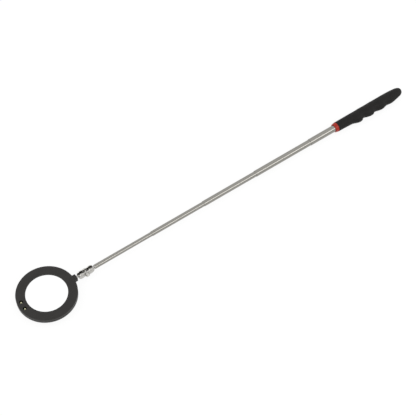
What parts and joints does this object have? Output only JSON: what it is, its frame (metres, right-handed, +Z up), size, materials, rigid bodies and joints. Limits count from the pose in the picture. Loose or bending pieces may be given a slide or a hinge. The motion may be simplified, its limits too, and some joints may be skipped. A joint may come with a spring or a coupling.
{
  "type": "telescopic inspection mirror",
  "caption": "Round inspection mirror with recessed lamps in a black head, on a double ball joint and a telescopic steel shaft with a contoured rubber grip.",
  "frame": {"origin": "centre of the tool's footprint, on the surface it lies on, with the shaft partly drawn out", "axes": "+X along the shaft from the mirror head to the butt of the grip, +Z up, the way the mirror faces, +Y across the shaft, on the palm side of the grip"},
  "size_m": [0.6474, 0.08, 0.0156],
  "materials": {
    "grip_rubber": "matte moulded rubber",
    "red_plastic": "glossy moulded plastic",
    "tube_steel": "polished plated steel, fine draw lines",
    "white_nylon": "natural nylon",
    "sleeve_brass": "plain phosphor bronze",
    "bright_steel": "polished steel",
    "plate_chrome": "bright nickel plate",
    "spring_steel": "plain strip steel",
    "black_plastic": "fine spark-eroded texture",
    "mirror_silver": "silvered glass",
    "foam_pad": "closed-cell foam tape",
    "lamp_epoxy": "clear epoxy over a yellow phosphor",
    "board_green": "solder mask",
    "chip_black": "moulded chip",
    "cell_steel": "plain pressed steel",
    "wire_red": "vinyl sleeve",
    "wire_black": "vinyl sleeve",
    "screw_black": "black oxide"
  },
  "bodies": {
    "handle": {"grip": "grip_rubber", "handle_core": "red_plastic", "outer_tube": "tube_steel", "tube_end_plug": "white_nylon"},
    "stage_4": {"tube_4": "tube_steel", "friction_sleeve_4": "sleeve_brass"},
    "stage_3": {"tube_3": "tube_steel", "friction_sleeve_3": "sleeve_brass"},
    "stage_2": {"tube_2": "tube_steel", "friction_sleeve_2": "sleeve_brass"},
    "stage_1": {"tube_1": "tube_steel", "friction_sleeve_1": "sleeve_brass", "shaft_stud": "bright_steel"},
    "lower_ball": {"shaft_ball": "bright_steel"},
    "clamp": {"clamp_plate_near": "plate_chrome", "clamp_plate_far": "plate_chrome", "clamp_screw": "plate_chrome", "clamp_lock_washer": "spring_steel", "clamp_nut": "plate_chrome"},
    "upper_ball": {"mirror_ball": "bright_steel"},
    "head": {"front_bezel": "black_plastic", "back_cover": "black_plastic", "mirror_glass": "mirror_silver", "mirror_pad": "foam_pad", "led_left": "lamp_epoxy", "led_right": "lamp_epoxy", "led_board": "board_green", "led_resistor": "chip_black", "cell_lower": "cell_steel", "cell_upper": "cell_steel", "contact_negative": "spring_steel", "contact_positive": "spring_steel", "switch_can": "spring_steel", "switch_terminals": "sleeve_brass", "wire_red": "wire_red", "wire_black": "wire_black", "housing_screws": "screw_black", "mirror_stud": "bright_steel", "stud_nut": "bright_steel"},
    "door": {"battery_door": "black_plastic"},
    "switch": {"switch_knob": "black_plastic", "switch_slider": "white_nylon"}
  },
  "joints": [
    {"name": "stage_4_slide", "type": "slide", "parent": "handle", "child": "stage_4", "axis": [-1, 0, 0], "range_m": [-0.0957, 0.0483]},
    {"name": "stage_3_slide", "type": "slide", "parent": "stage_4", "child": "stage_3", "axis": [-1, 0, 0], "range_m": [-0.0868, 0.0552]},
    {"name": "stage_2_slide", "type": "slide", "parent": "stage_3", "child": "stage_2", "axis": [-1, 0, 0], "range_m": [-0.0835, 0.0565]},
    {"name": "stage_1_slide", "type": "slide", "parent": "stage_2", "child": "stage_1", "axis": [-1, 0, 0], "range_m": [-0.0884, 0.0496]},
    {"name": "shaft_stud_spin", "type": "hinge", "parent": "stage_1", "child": "lower_ball", "pos_m": [-0.21865, 0, 0.0078], "axis": [1, 0, 0], "continuous": true},
    {"name": "clamp_swing", "type": "hinge", "parent": "lower_ball", "child": "clamp", "pos_m": [-0.21865, 0, 0.0078], "axis": [0, 1, 0], "range_deg": [-90, 90]},
    {"name": "mirror_swing", "type": "hinge", "parent": "clamp", "child": "upper_ball", "pos_m": [-0.23205, 0, 0.0078], "axis": [0, -1, 0], "range_deg": [-90, 90]},
    {"name": "mirror_stud_spin", "type": "hinge", "parent": "upper_ball", "child": "head", "pos_m": [-0.23205, 0, 0.0078], "axis": [1, 0, 0], "continuous": true},
    {"name": "battery_door_slide", "type": "slide", "parent": "head", "child": "door", "axis": [-1, 0, 0], "range_m": [0, 0.02]},
    {"name": "switch_slide", "type": "slide", "parent": "head", "child": "switch", "axis": [1, 0, 0], "range_m": [0, 0.0025]}
  ]
}
